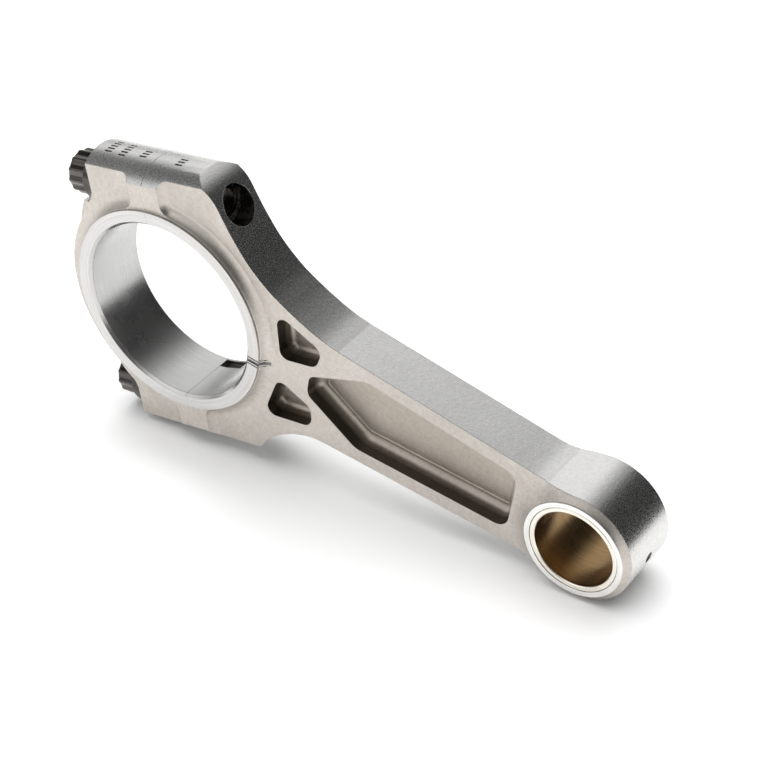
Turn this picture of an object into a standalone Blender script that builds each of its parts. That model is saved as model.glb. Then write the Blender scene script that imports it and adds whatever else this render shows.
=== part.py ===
"""Connecting rod of a short-stroke four-cylinder engine.

Forged and machined I-beam rod with an obliquely split big end.  The rod and its
cap are one forging that is cut apart along the parting plane, located by two
hollow dowel sleeves and clamped by two flanged twelve-point bolts.  The small
end carries a pressed bronze bushing for the piston pin.

Rod frame (millimetres until the last step):
    x  from the big-end centre to the small-end centre
    y  across the beam
    z  along the crank pin and the piston pin
Split frame (u, v): the rod frame turned by SPLIT_ANGLE about z.  The bolts run
along u and the parting plane is u = 0.

The rod stands on edge: the lower corner of the cap and the small-end barrel
both touch the ground plane.
"""
import math

import bmesh
import bpy
from mathutils import Matrix, Vector

# ---------------------------------------------------------------- dimensions
MM = 0.001

CENTRES = 129.0          # big-end centre to small-end centre
SPLIT_ANGLE = 18.0       # parting plane, away from square to the beam
KERF = 0.30              # joint gap between rod and cap

BORE_R = 26.5            # big-end housing bore
BORE_CHAMFER = 0.85
RING_R = 30.65           # outside of the thrust face
RING_Z = 10.1            # half width over the thrust faces
FACE_Z = 7.33            # half width of the beam and of the bolt pads
TAB_Z = 9.3              # half width of the land beside the parting line
TAB_HALF = 4.9           # half length of that land along u
FILLET_R = 3.5           # ball-milled fillet from the lands down to the face

FLAT_V = 39.8            # half width over the sides where they meet the faces
CROWN_R = 12.5           # the sides beside the bolts are crowned, with this radius
CROWN_V = 29.68          # and with its centre here
SEAT_U = -20.8           # bolt seats on the cap
FLAT_END_UP = 19.6       # where the upper side meets its shoulder, at the faces
FLAT_END_LOW = 21.3      # the same on the lower side
CAP_R = 34.8             # back of the cap beside its rib
RIB_BACK_U = -35.2       # back of the rib
RIB_ARC_R = 54.0
RIB_Z = 3.9              # half width of the rib
RIB_V = 25.2             # the rib ends beside the bolt heads

PIN_R = 11.0             # bushing bore
BUSH_R = 12.3            # bushing outside
BUSH_Z = 10.5
HOUSING_R = 12.6         # small-end housing bore
BOSS_R = 13.9            # outside of the small-end face
BOSS_Z = 10.8
BARREL_R = 15.9
BOSS_BLEND_R = 20.9      # where the boss fillet meets the beam face

BEAM_HALF = 15.16        # half width of the beam at x = 80
BEAM_TAPER = 0.0476
POCKET_FLOOR_Z = 1.85    # half thickness of the web

BOLT_V = 32.5
BOLT_HOLE_R = 5.05
HOLE_END_UP = 40.0       # the upper hole runs out through the shoulder
HOLE_END_LOW = 22.6      # the lower hole is blind
BOLT_SHANK_R = 4.2
BOLT_THREAD_R = 4.6
BOLT_FLANGE_R = 7.1
BOLT_HEAD_R = 6.3        # across the points
BOLT_TIP_U = 19.7
BOLT_HEAD_U = -30.3
SPOT_FACE_R = 7.5
SEAT_GAP = 0.30

SLEEVE_R = 5.35
SLEEVE_BORE_R = 4.85
SLEEVE_POCKET_R = 5.60
SLEEVE_CAP_U = -3.2
SLEEVE_ROD_U = 5.2

OIL_HOLE_R = 1.5

# ------------------------------------------------------------------- helpers
COS_S = math.cos(math.radians(SPLIT_ANGLE))
SIN_S = math.sin(math.radians(SPLIT_ANGLE))


def split_to_rod(u, v):
    return (u * COS_S - v * SIN_S, u * SIN_S + v * COS_S)


def clear_scene():
    for ob in list(bpy.data.objects):
        bpy.data.objects.remove(ob, do_unlink=True)


def material(name, colour, roughness, metallic):
    mat = bpy.data.materials.new(name)
    mat.use_nodes = True
    shader = mat.node_tree.nodes["Principled BSDF"]
    shader.inputs["Base Color"].default_value = (*colour, 1.0)
    shader.inputs["Roughness"].default_value = roughness
    shader.inputs["Metallic"].default_value = metallic
    mat.diffuse_color = (*colour, 1.0)
    return mat


def add_object(name, bm, mat=None):
    bmesh.ops.recalc_face_normals(bm, faces=bm.faces)
    mesh = bpy.data.meshes.new(name)
    bm.to_mesh(mesh)
    bm.free()
    ob = bpy.data.objects.new(name, mesh)
    bpy.context.scene.collection.objects.link(ob)
    if mat is not None:
        mesh.materials.append(mat)
    return ob


def loft(rings, closed=False):
    """Skin a list of equal-length point rings; the ends are capped unless closed."""
    bm = bmesh.new()
    verts = [[bm.verts.new(Vector(p) * MM) for p in ring] for ring in rings]
    n = len(rings[0])
    pairs = list(zip(verts[:-1], verts[1:]))
    if closed:
        pairs.append((verts[-1], verts[0]))
    for a, b in pairs:
        for i in range(n):
            j = (i + 1) % n
            bm.faces.new((a[i], a[j], b[j], b[i]))
    uneven = [f for f in bm.faces if len(f.verts) == 4
              and abs((f.verts[3].co - f.verts[0].co).dot(
                  (f.verts[1].co - f.verts[0].co).cross(f.verts[2].co - f.verts[0].co))) > 1e-16]
    bmesh.ops.triangulate(bm, faces=uneven)
    if not closed:
        bm.faces.new(list(reversed(verts[0])))
        bm.faces.new(verts[-1])
    return bm


def prism(outline, z0, z1):
    return loft([[(x, y, z0) for x, y in outline], [(x, y, z1) for x, y in outline]])


def turned(profile, segments, centre=(0.0, 0.0), closed=True):
    """Turn an (r, z) profile about the z axis through centre."""
    rings = []
    for r, z in profile:
        ring = []
        for i in range(segments):
            a = 2.0 * math.pi * (i + 0.5) / segments
            ring.append((centre[0] + r * math.cos(a), centre[1] + r * math.sin(a), z))
        rings.append(ring)
    return loft(rings, closed=closed)


def along_u(profile, segments, v):
    """Turn an (r, u) profile about the line v = const, z = 0, in the split frame."""
    rings = []
    for r, u in profile:
        ring = []
        for i in range(segments):
            a = 2.0 * math.pi * (i + 0.5) / segments
            x, y = split_to_rod(u, v + r * math.cos(a))
            ring.append((x, y, r * math.sin(a)))
        rings.append(ring)
    return loft(rings)


def tidy(mesh):
    """Merge the solver's coincident points and join the coplanar facets it leaves."""
    bm = bmesh.new()
    bm.from_mesh(mesh)
    bmesh.ops.remove_doubles(bm, verts=bm.verts, dist=0.000004)
    bmesh.ops.dissolve_degenerate(bm, dist=0.000002, edges=bm.edges)
    bmesh.ops.dissolve_limit(bm, angle_limit=math.radians(0.2), use_dissolve_boundaries=False,
                             verts=bm.verts, edges=bm.edges)
    bm.to_mesh(mesh)
    bm.free()


def boolean(target, bm, operation):
    """Combine target with the solid in bm, exactly, and keep the result as its mesh."""
    cutter = add_object("cutter", bm)
    cutter.hide_render = True
    cutter.display_type = "WIRE"
    mod = target.modifiers.new("cut", "BOOLEAN")
    mod.operation = operation
    mod.solver = "EXACT"
    mod.object = cutter
    graph = bpy.context.evaluated_depsgraph_get()
    graph.update()
    mesh = bpy.data.meshes.new_from_object(target.evaluated_get(graph))
    tidy(mesh)
    target.modifiers.clear()
    old = target.data
    target.data = mesh
    bpy.data.meshes.remove(old)
    bpy.data.objects.remove(cutter, do_unlink=True)


def rounded(corners, steps=5):
    """Round each corner (x, y, radius) of a polygon with a circular arc."""
    points = []
    n = len(corners)
    for i, (x, y, radius) in enumerate(corners):
        p = Vector((x, y))
        a = (Vector(corners[i - 1][:2]) - p).normalized()
        b = (Vector(corners[(i + 1) % n][:2]) - p).normalized()
        half = a.angle(b) / 2.0
        reach = radius / math.tan(half)
        centre = p + (a + b).normalized() * (radius / math.sin(half))
        start = p + a * reach - centre
        end = p + b * reach - centre
        turn = math.atan2(start.x * end.y - start.y * end.x, start.dot(end))
        for k in range(steps + 1):
            t = turn * k / steps
            points.append((centre.x + start.x * math.cos(t) - start.y * math.sin(t),
                           centre.y + start.x * math.sin(t) + start.y * math.cos(t)))
    return points


def inset(outline, distance):
    """Move a closed outline inwards along its own normals (counter-clockwise outline)."""
    area = sum(outline[i - 1][0] * outline[i][1] - outline[i][0] * outline[i - 1][1]
               for i in range(len(outline)))
    side = 1.0 if area > 0 else -1.0
    moved = []
    n = len(outline)
    for i in range(n):
        p = Vector(outline[i])
        a = (p - Vector(outline[i - 1]))
        b = (Vector(outline[(i + 1) % n]) - p)
        na = Vector((-a.y, a.x)).normalized()
        nb = Vector((-b.y, b.x)).normalized()
        m = (na + nb).normalized()
        scale = distance / max(0.5, m.dot(na))
        q = p + m * scale * side
        moved.append((q.x, q.y))
    return moved


def smooth_curve(controls, steps=3):
    """Catmull-Rom curve through the controls, end points included."""
    pts = [Vector(c) for c in controls]
    ext = [pts[0] * 2 - pts[1]] + pts + [pts[-1] * 2 - pts[-2]]
    out = []
    for i in range(1, len(ext) - 2):
        p0, p1, p2, p3 = ext[i - 1:i + 3]
        for k in range(steps):
            t = k / steps
            q = 0.5 * ((2 * p1) + (p2 - p0) * t + (2 * p0 - 5 * p1 + 4 * p2 - p3) * t * t
                       + (3 * p1 - p0 - 3 * p2 + p3) * t ** 3)
            out.append((q.x, q.y))
    out.append(tuple(pts[-1]))
    return out


def beam_half(x):
    return BEAM_HALF - BEAM_TAPER * (x - 80.0)


def crown_arc(steps=13):
    """Cross-section (v, z) of the crowned sides, with one facet level at the top."""
    return [(CROWN_V + math.sqrt(CROWN_R ** 2 - z * z), z)
            for z in (-11.0 + 22.0 * k / steps for k in range(steps + 1))]


# ------------------------------------------------------------- the rod blank
def rod_outline():
    """Side view of rod and cap together, counter-clockwise, in the rod frame."""
    pts = []
    # lower shoulder, from the end of the lower side to the beam
    lower = [split_to_rod(16.6, -42.6), split_to_rod(FLAT_END_LOW, -FLAT_V), split_to_rod(24.3, -36.9),
             split_to_rod(27.4, -34.7), split_to_rod(31.0, -33.0),
             split_to_rod(35.5, -31.7), split_to_rod(40.5, -31.3), (53.0, -beam_half(53.0) - 0.1)]
    pts += smooth_curve(lower)
    # lower beam edge and neck, small-end barrel, upper neck and beam edge
    neck = [(104.0, beam_half(104.0)), (109.0, 13.75), (113.5, 13.62), (117.5, 13.85)]
    pts += smooth_curve([(x, -y) for x, y in neck], 2)
    start = math.asin(-(BARREL_R - 0.35) / BARREL_R) - math.radians(12.0)
    for k in range(29):
        a = start + (-2.0 * start) * k / 28.0
        pts.append((CENTRES + BARREL_R * math.cos(a), BARREL_R * math.sin(a)))
    pts += list(reversed(smooth_curve(neck, 2)))
    # upper shoulder, from the beam to the end of the upper side
    upper = [(53.0, beam_half(53.0) + 0.05), (47.0, 17.3), (41.0, 18.95), split_to_rod(40.0, 9.1),
             split_to_rod(35.0, 13.7), split_to_rod(30.0, 20.3), split_to_rod(26.4, 27.4),
             split_to_rod(24.6, 31.8), split_to_rod(22.6, 36.6), split_to_rod(FLAT_END_UP, FLAT_V),
             split_to_rod(14.4, 42.6)]
    pts += smooth_curve(upper)
    # cap: side, bolt seat, fillet, back, and the same again below
    pts.append(split_to_rod(SEAT_U, 42.6))
    back = [(SEAT_U, 31.4), (-21.6, 29.2), (-24.0, 26.4)]
    arc0 = math.atan2(23.2, -26.0)
    back += [(CAP_R * math.cos(arc0 + (2.0 * (math.pi - arc0)) * k / 22.0),
              CAP_R * math.sin(arc0 + (2.0 * (math.pi - arc0)) * k / 22.0)) for k in range(23)]
    back += [(-24.0, -26.4), (-21.6, -29.2), (SEAT_U, -31.4)]
    pts += [split_to_rod(u, v) for u, v in back]
    pts.append(split_to_rod(SEAT_U, -42.6))
    return pts


def fillet_profile(r0, z_top, z_base, radius, steps=4):
    """Concave fillet from (r0, z_top) out and down to z_base, as (r, z) points."""
    rise = z_top - z_base
    reach = math.sqrt(radius ** 2 - (radius - rise) ** 2)
    a0 = math.atan2(reach, radius - rise)
    return [(r0 + reach - radius * math.sin(a0 * (1 - k / steps)),
             z_base + radius - radius * math.cos(a0 * (1 - k / steps))) for k in range(steps + 1)]


def mirrored_ring(upper, inner_r):
    """Closed (r, z) profile from the upper half profile, mirrored about z = 0."""
    return ([(inner_r, upper[0][1])] + upper + [(r, -z) for r, z in reversed(upper)]
            + [(inner_r, -upper[0][1])])


def build_blank(mat):
    outline = rod_outline()
    slab = [(-60.0, -60.0), (160.0, -60.0), (160.0, 60.0), (-60.0, 60.0)]
    blank = add_object("blank", prism(slab, -FACE_Z, FACE_Z), mat)

    # thrust faces of the big end
    hub = [(RING_R, RING_Z), (RING_R + 0.12, TAB_Z)]
    hub += fillet_profile(RING_R + 0.2, TAB_Z, FACE_Z - 0.02, FILLET_R, 3)
    boolean(blank, turned(mirrored_ring(hub, 24.0), 72), "UNION")

    # boss faces of the small end
    blend = []
    for k in range(5):
        r = BOSS_R + (BOSS_BLEND_R - BOSS_R) * k / 4.0
        blend.append((r, FACE_Z - 0.02 + (BOSS_Z - 0.3 - FACE_Z) * ((BOSS_BLEND_R - r) / (BOSS_BLEND_R - BOSS_R)) ** 2))
    boss = [(BOSS_R - 0.15, BOSS_Z)] + blend
    boolean(blank, turned(mirrored_ring(boss, 8.0), 48, (CENTRES, 0.0)), "UNION")

    # lands beside the parting line, running out through the sides
    side = fillet_profile(TAB_HALF, TAB_Z, FACE_Z - 0.02, FILLET_R, 3)
    half = [(u, z) for u, z in side]
    section = ([(-u, z) for u, z in reversed(half)] + half
               + [(u, -z) for u, z in reversed(half)] + [(-u, -z) for u, z in half])
    for sign in (1.0, -1.0):
        rings = []
        for v in (27.5, FLAT_V + 1.0):
            rings.append([(*split_to_rod(u, sign * v), z) for u, z in section])
        boolean(blank, loft(rings), "UNION")

    # trim everything to the side view
    boolean(blank, prism(outline, -12.0, 12.0), "INTERSECT")

    # crowned sides, beside the bolts
    for sign in (1.0, -1.0):
        section = crown_arc() + [(60.0, 11.0), (60.0, -11.0)]
        rings = [[(*split_to_rod(u, sign * v), z) for v, z in section] for u in (-40.0, 30.0)]
        boolean(blank, loft(rings), "DIFFERENCE")

    # rib over the back of the cap, between the bolt heads
    rib = [(-18.0, -RIB_V)]
    for k in range(15):
        v = -RIB_V + 2.0 * RIB_V * k / 14.0
        rib.append((RIB_BACK_U + RIB_ARC_R - math.sqrt(RIB_ARC_R ** 2 - v * v), v))
    rib.append((-18.0, RIB_V))
    rings = [[(*split_to_rod(u, v), z) for u, v in rib] for z in (-RIB_Z, RIB_Z)]
    boolean(blank, loft(rings), "UNION")

    # bores
    c = BORE_CHAMFER
    boolean(blank, turned([(BORE_R + 2 * c, -RING_Z - c), (BORE_R, -RING_Z + c), (BORE_R, RING_Z - c),
                           (BORE_R + 2 * c, RING_Z + c)], 72, closed=False), "DIFFERENCE")
    boolean(blank, turned([(HOUSING_R, -13.0), (HOUSING_R, 13.0)], 48, (CENTRES, 0.0), closed=False),
            "DIFFERENCE")

    # bolt holes, bolt seats and sleeve pockets
    for sign in (1.0, -1.0):
        v = sign * BOLT_V
        boolean(blank, along_u([(SPOT_FACE_R, SEAT_U - 20.0), (SPOT_FACE_R, SEAT_U)], 40, v), "DIFFERENCE")
        end = HOLE_END_UP if sign > 0.0 else HOLE_END_LOW
        boolean(blank, along_u([(BOLT_HOLE_R, SEAT_U - 5.0), (BOLT_HOLE_R, end)], 32, v), "DIFFERENCE")
        boolean(blank, along_u([(SLEEVE_POCKET_R, SLEEVE_CAP_U), (SLEEVE_POCKET_R, SLEEVE_ROD_U)], 32, v),
                "DIFFERENCE")

    # lightening pockets, alike on both faces
    main = rounded([(45.0, -3.2, 2.9), (62.0, -12.15, 6.0), (109.0, -9.5, 4.0),
                    (109.0, 9.5, 4.0), (62.0, 12.15, 6.0), (45.0, 3.2, 2.9)])
    small = rounded([(32.4, 18.2, 2.4), (35.6, 3.6, 2.2), (46.8, 7.2, 3.0), (48.1, 13.6, 3.0)], 4)
    small_low = [(x, -y) for x, y in reversed(small)]
    for outline_2d, shrink in ((main, 1.0), (small, 0.8), (small_low, 0.8)):
        for sign in (1.0, -1.0):
            rings = []
            for z, distance in ((FACE_Z + 1.0, 0.0), (FACE_Z - 3.2, 0.3), (POCKET_FLOOR_Z + 0.9, 0.9),
                                (POCKET_FLOOR_Z, 2.2)):
                ring = inset(outline_2d, distance * shrink)
                rings.append([(x, y, sign * z) for x, y in ring])
            boolean(blank, loft(rings), "DIFFERENCE")

    # oil hole in the end of the small end
    ring_a, ring_b = [], []
    for i in range(16):
        a = 2.0 * math.pi * i / 16.0
        ring_a.append((CENTRES + 8.0, OIL_HOLE_R * math.cos(a), OIL_HOLE_R * math.sin(a)))
        ring_b.append((CENTRES + 20.0, OIL_HOLE_R * math.cos(a), OIL_HOLE_R * math.sin(a)))
    boolean(blank, loft([ring_a, ring_b]), "DIFFERENCE")

    # oil channels across the thrust faces, and the bearing tang notch
    for sign in (1.0, -1.0):
        ring = [(BORE_R - 1.0, -1.2), (RING_R + 0.6, -1.2), (RING_R + 0.6, 1.2), (BORE_R - 1.0, 1.2)]
        boolean(blank, loft([[(x, y, sign * (RING_Z - 0.5)) for x, y in ring],
                             [(x, y, sign * (RING_Z + 1.0)) for x, y in ring]]), "DIFFERENCE")
    notch = [(0.0, -(BORE_R + 1.2)), (5.0, -(BORE_R + 0.7)), (5.0, -(BORE_R - 3.0)), (0.0, -(BORE_R - 3.0))]
    boolean(blank, loft([[(*split_to_rod(u, v), z) for u, v in notch] for z in (-8.6, -5.2)]), "DIFFERENCE")
    return blank


def half_space(sign):
    """Large block on one side of the parting plane, clear of it by half the kerf."""
    near, far = sign * KERF / 2.0, sign * 260.0
    ring = [(near, -120.0), (far, -120.0), (far, 120.0), (near, 120.0)]
    return loft([[(*split_to_rod(u, v), z) for u, v in ring] for z in (-30.0, 30.0)])


def copy_of(ob, name):
    twin = bpy.data.objects.new(name, ob.data.copy())
    bpy.context.scene.collection.objects.link(twin)
    return twin


# ------------------------------------------------------------------ fittings
def star_ring(radius, u, segments):
    """Twelve-point outline, one point every 30 degrees."""
    ring = []
    for i in range(segments):
        a = 2.0 * math.pi * i / segments
        wave = abs((a / math.radians(30.0)) % 1.0 - 0.5) * 2.0
        r = radius * (1.0 - 0.115 * (1.0 - wave))
        ring.append((u, r * math.cos(a), r * math.sin(a)))
    return ring


def round_ring(radius, u, segments):
    return [(u, radius * math.cos(2.0 * math.pi * i / segments), radius * math.sin(2.0 * math.pi * i / segments))
            for i in range(segments)]


def build_bolt(name, mat):
    """Flanged twelve-point bolt along +x, its origin in the plane of the bolt seat."""
    n = 48
    seat = SEAT_U - SEAT_GAP
    rings = [round_ring(1.4, BOLT_HEAD_U + 1.6, n), round_ring(3.1, BOLT_HEAD_U + 0.9, n),
             round_ring(3.5, BOLT_HEAD_U, n), star_ring(BOLT_HEAD_R * 0.94, BOLT_HEAD_U, n),
             star_ring(BOLT_HEAD_R, BOLT_HEAD_U + 0.6, n), star_ring(BOLT_HEAD_R, seat - 4.0, n),
             round_ring(BOLT_HEAD_R + 0.15, seat - 3.6, n), round_ring(BOLT_FLANGE_R, seat - 3.1, n),
             round_ring(BOLT_FLANGE_R, seat - 0.3, n), round_ring(BOLT_FLANGE_R - 0.3, seat, n),
             round_ring(BOLT_SHANK_R + 0.5, seat, n), round_ring(BOLT_SHANK_R, seat + 0.6, n),
             round_ring(BOLT_SHANK_R, 3.6, n), round_ring(BOLT_THREAD_R, 4.4, n),
             round_ring(BOLT_THREAD_R, BOLT_TIP_U - 0.9, n), round_ring(BOLT_THREAD_R - 0.8, BOLT_TIP_U, n)]
    rings = [[(x - SEAT_U, y, z) for x, y, z in ring] for ring in rings]
    return add_object(name, loft(rings), mat)


def build_sleeve(name, mat):
    """Hollow dowel sleeve along +x, its origin in the parting plane."""
    n = 32
    rings = []
    for r, u in ((SLEEVE_R - 0.15, SLEEVE_CAP_U + 0.2), (SLEEVE_R, SLEEVE_CAP_U + 0.5),
                 (SLEEVE_R, SLEEVE_ROD_U - 0.5), (SLEEVE_R - 0.15, SLEEVE_ROD_U - 0.2),
                 (SLEEVE_BORE_R, SLEEVE_ROD_U - 0.2), (SLEEVE_BORE_R, SLEEVE_CAP_U + 0.2)):
        rings.append(round_ring(r, u, n))
    return add_object(name, loft(rings, closed=True), mat)


def build_bushing(name, mat):
    """Pressed bushing with chamfered mouths and an oil hole; its origin on the pin axis."""
    c = 0.4
    profile = [(PIN_R + c, BUSH_Z), (BUSH_R, BUSH_Z), (BUSH_R, -BUSH_Z), (PIN_R + c, -BUSH_Z),
               (PIN_R, -BUSH_Z + c), (PIN_R, BUSH_Z - c)]
    ob = add_object(name, turned(profile, 48), mat)
    ring_a, ring_b = [], []
    for i in range(16):
        a = 2.0 * math.pi * i / 16.0
        ring_a.append((8.0, (OIL_HOLE_R - 0.2) * math.cos(a), (OIL_HOLE_R - 0.2) * math.sin(a)))
        ring_b.append((16.0, (OIL_HOLE_R - 0.2) * math.cos(a), (OIL_HOLE_R - 0.2) * math.sin(a)))
    boolean(ob, loft([ring_a, ring_b]), "DIFFERENCE")
    return ob


def smooth_shade(ob, degrees=35.0):
    ob.data.shade_smooth()
    ob.data.set_sharp_from_angle(angle=math.radians(degrees))


# ---------------------------------------------------------------------- main
def main():
    clear_scene()
    steel = material("peened_steel", (0.56, 0.54, 0.51), 0.42, 1.0)
    bronze = material("bushing_bronze", (0.50, 0.33, 0.16), 0.30, 1.0)
    dark = material("bolt_steel", (0.16, 0.15, 0.145), 0.28, 1.0)
    bright = material("sleeve_steel", (0.62, 0.62, 0.63), 0.25, 1.0)

    blank = build_blank(steel)
    body = copy_of(blank, "rod_body")
    boolean(body, half_space(1.0), "INTERSECT")
    cap = copy_of(blank, "rod_cap")
    boolean(cap, half_space(-1.0), "INTERSECT")
    bpy.data.objects.remove(blank, do_unlink=True)

    # the rod frame stands on the cap's lower corner and on the small-end barrel
    corner = Vector(split_to_rod(SEAT_U, -max(v for v, _ in crown_arc())))
    to_pin = Vector((CENTRES, 0.0)) - corner
    tilt = math.atan2(to_pin.y, to_pin.x) - math.asin(BARREL_R / to_pin.length)
    ct, st = math.cos(tilt), math.sin(tilt)
    turn = Matrix(((ct, st, 0.0, 0.0), (0.0, 0.0, -1.0, 0.0), (-st, ct, 0.0, 0.0), (0.0, 0.0, 0.0, 1.0)))

    root = bpy.data.objects.new("rod_frame", None)
    bpy.context.scene.collection.objects.link(root)
    root.matrix_world = turn

    split = Matrix.Rotation(math.radians(SPLIT_ANGLE), 4, "Z")
    placed = [(body, Matrix.Identity(4)), (cap, Matrix.Identity(4)),
              (build_bushing("small_end_bushing", bronze), Matrix.Translation((CENTRES * MM, 0.0, 0.0)))]
    for word, sign in (("upper", 1.0), ("lower", -1.0)):
        at_seat = split @ Matrix.Translation((SEAT_U * MM, sign * BOLT_V * MM, 0.0))
        at_joint = split @ Matrix.Translation((0.0, sign * BOLT_V * MM, 0.0))
        placed.append((build_bolt("cap_bolt_" + word, dark), at_seat))
        placed.append((build_sleeve("dowel_sleeve_" + word, bright), at_joint))
    for ob, local in placed:
        smooth_shade(ob)
        ob.parent = root
        ob.matrix_local = local

    # ground plane at the lowest point, origin below the middle of the box
    bpy.context.view_layer.update()
    corners = [ob.matrix_world @ v.co for ob, _ in placed for v in ob.data.vertices]
    low = [min(p[i] for p in corners) for i in range(3)]
    high = [max(p[i] for p in corners) for i in range(3)]
    root.location = (-(low[0] + high[0]) / 2.0, -(low[1] + high[1]) / 2.0, -low[2])
    bpy.context.view_layer.update()


main()
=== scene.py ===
import math

import bmesh
import bpy
from mathutils import Matrix, Vector


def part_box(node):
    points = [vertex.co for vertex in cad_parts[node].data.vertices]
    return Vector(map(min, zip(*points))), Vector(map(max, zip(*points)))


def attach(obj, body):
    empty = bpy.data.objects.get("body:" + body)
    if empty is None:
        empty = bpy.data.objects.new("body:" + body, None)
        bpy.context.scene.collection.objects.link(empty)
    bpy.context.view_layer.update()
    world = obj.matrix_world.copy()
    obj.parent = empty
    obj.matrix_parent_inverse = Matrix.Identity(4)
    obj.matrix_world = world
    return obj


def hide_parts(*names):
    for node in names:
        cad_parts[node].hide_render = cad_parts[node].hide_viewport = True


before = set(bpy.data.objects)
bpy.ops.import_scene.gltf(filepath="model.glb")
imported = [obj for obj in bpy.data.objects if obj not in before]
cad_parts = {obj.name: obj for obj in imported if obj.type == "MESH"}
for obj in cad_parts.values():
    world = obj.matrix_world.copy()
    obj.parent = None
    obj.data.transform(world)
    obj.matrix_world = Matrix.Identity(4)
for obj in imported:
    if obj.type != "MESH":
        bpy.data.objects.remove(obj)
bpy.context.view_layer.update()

# ---------------------------------------------------------------- dimensions
# millimetres in the rod frame: x to the small end, y across the beam, z along the pins.
# The split frame (u, v) is the rod frame turned by SPLIT_ANGLE about z; the bolts run along u.
MM = 0.001
CENTRES = 129.0
SPLIT_ANGLE = 18.0
KERF = 0.03              # the joint as a hairline
BORE_R = 26.5
BORE_CHAMFER = 0.85
RING_R = 30.65
RING_Z = 10.1
FACE_Z = 7.33
TAB_Z = 9.3
TAB_HALF = 4.9
FILLET_R = 3.5
TAB_PLAN_R = 4.0
FLAT_V = 39.8
CROWN_R = 12.5
CROWN_V = 29.68
SEAT_U = -20.8
FLAT_END_UP = 19.6
FLAT_END_LOW = 21.3
CAP_R = 34.8
RIB_BACK_U = -35.17
RIB_ARC_R = 54.0
RIB_Z = 3.45
RIB_V = 25.2
PIN_R = 11.0
BUSH_R = 12.57
BUSH_Z = 10.72
HOUSING_R = 12.6
BOSS_R = 14.2
BOSS_Z = 10.8
BARREL_R = 15.9
BOSS_BLEND_R = 20.9
BEAM_HALF = 15.16
BEAM_TAPER = 0.0476
POCKET_FLOOR_Z = 1.85
BOLT_V = 32.5
HOLE_R = 5.05
THREAD_MINOR_R = 4.74
THREAD_PITCH = 1.06
HOLE_END_UP = 40.0
HOLE_END_LOW = 22.6
BOLT_SHANK_R = 4.2
BOLT_THREAD_R = 4.6
BOLT_FLANGE_R = 7.1
BOLT_HEAD_R = 6.3
BOLT_TIP_U = 19.7
BOLT_HEAD_U = -30.28
SPOT_FACE_R = 7.5
SEAT_GAP = 0.02
SLEEVE_R = 5.35
SLEEVE_BORE_R = 4.85
SLEEVE_POCKET_R = 5.42
SLEEVE_CAP_U = -3.2
SLEEVE_ROD_U = 5.2
OIL_HOLE_R = 1.5

MARKS = ((-17.2, -15.0, (-2.8, -1.5, -0.2, 1.1, 2.4)), (-12.2, -10.0, (-2.4, -1.1, 0.2, 1.5, 2.8)),
         (-5.6, -3.4, (-0.9, 0.4, 1.7)), (6.8, 9.0, (-0.6, 0.7, 2.0)))

COS_S = math.cos(math.radians(SPLIT_ANGLE))
SIN_S = math.sin(math.radians(SPLIT_ANGLE))


def split_to_rod(u, v):
    return (u * COS_S - v * SIN_S, u * SIN_S + v * COS_S)


def rod_to_split(x, y):
    return (x * COS_S + y * SIN_S, -x * SIN_S + y * COS_S)


# where the rod frame lies in the world: on the cap's lower corner and the small-end barrel
CROWN_TOP = CROWN_V + math.sqrt(CROWN_R ** 2 - (11.0 / 13.0) ** 2)
corner = Vector(split_to_rod(SEAT_U, -CROWN_TOP))
to_pin = Vector((CENTRES, 0.0)) - corner
tilt = math.atan2(to_pin.y, to_pin.x) - math.asin(BARREL_R / to_pin.length)
ct, st = math.cos(tilt), math.sin(tilt)
ROD = Matrix(((ct, st, 0.0, 0.0), (0.0, 0.0, -1.0, 0.0), (-st, ct, 0.0, 0.0), (0.0, 0.0, 0.0, 1.0)))
lo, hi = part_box("small_end_bushing")
ROD.translation = (lo + hi) / 2.0 - ROD.to_3x3() @ Vector((CENTRES * MM, 0.0, 0.0))


# ------------------------------------------------------------------- helpers
def add_object(name, bm, mats=()):
    bmesh.ops.recalc_face_normals(bm, faces=bm.faces)
    mesh = bpy.data.meshes.new(name)
    bm.to_mesh(mesh)
    bm.free()
    ob = bpy.data.objects.new(name, mesh)
    bpy.context.scene.collection.objects.link(ob)
    for mat in mats:
        mesh.materials.append(mat)
    return ob


def loft(rings, closed=False):
    bm = bmesh.new()
    verts = [[bm.verts.new(Vector(p) * MM) for p in ring] for ring in rings]
    n = len(rings[0])
    pairs = list(zip(verts[:-1], verts[1:]))
    if closed:
        pairs.append((verts[-1], verts[0]))
    for a, b in pairs:
        for i in range(n):
            j = (i + 1) % n
            bm.faces.new((a[i], a[j], b[j], b[i]))
    uneven = [f for f in bm.faces if len(f.verts) == 4
              and abs((f.verts[3].co - f.verts[0].co).dot(
                  (f.verts[1].co - f.verts[0].co).cross(f.verts[2].co - f.verts[0].co))) > 1e-16]
    bmesh.ops.triangulate(bm, faces=uneven)
    if not closed:
        bm.faces.new(list(reversed(verts[0])))
        bm.faces.new(verts[-1])
    return bm


def prism(outline, z0, z1):
    return loft([[(x, y, z0) for x, y in outline], [(x, y, z1) for x, y in outline]])


def turned(profile, segments, centre=(0.0, 0.0), closed=True):
    rings = []
    for r, z in profile:
        rings.append([(centre[0] + r * math.cos(2.0 * math.pi * (i + 0.5) / segments),
                       centre[1] + r * math.sin(2.0 * math.pi * (i + 0.5) / segments), z)
                      for i in range(segments)])
    return loft(rings, closed=closed)


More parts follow.
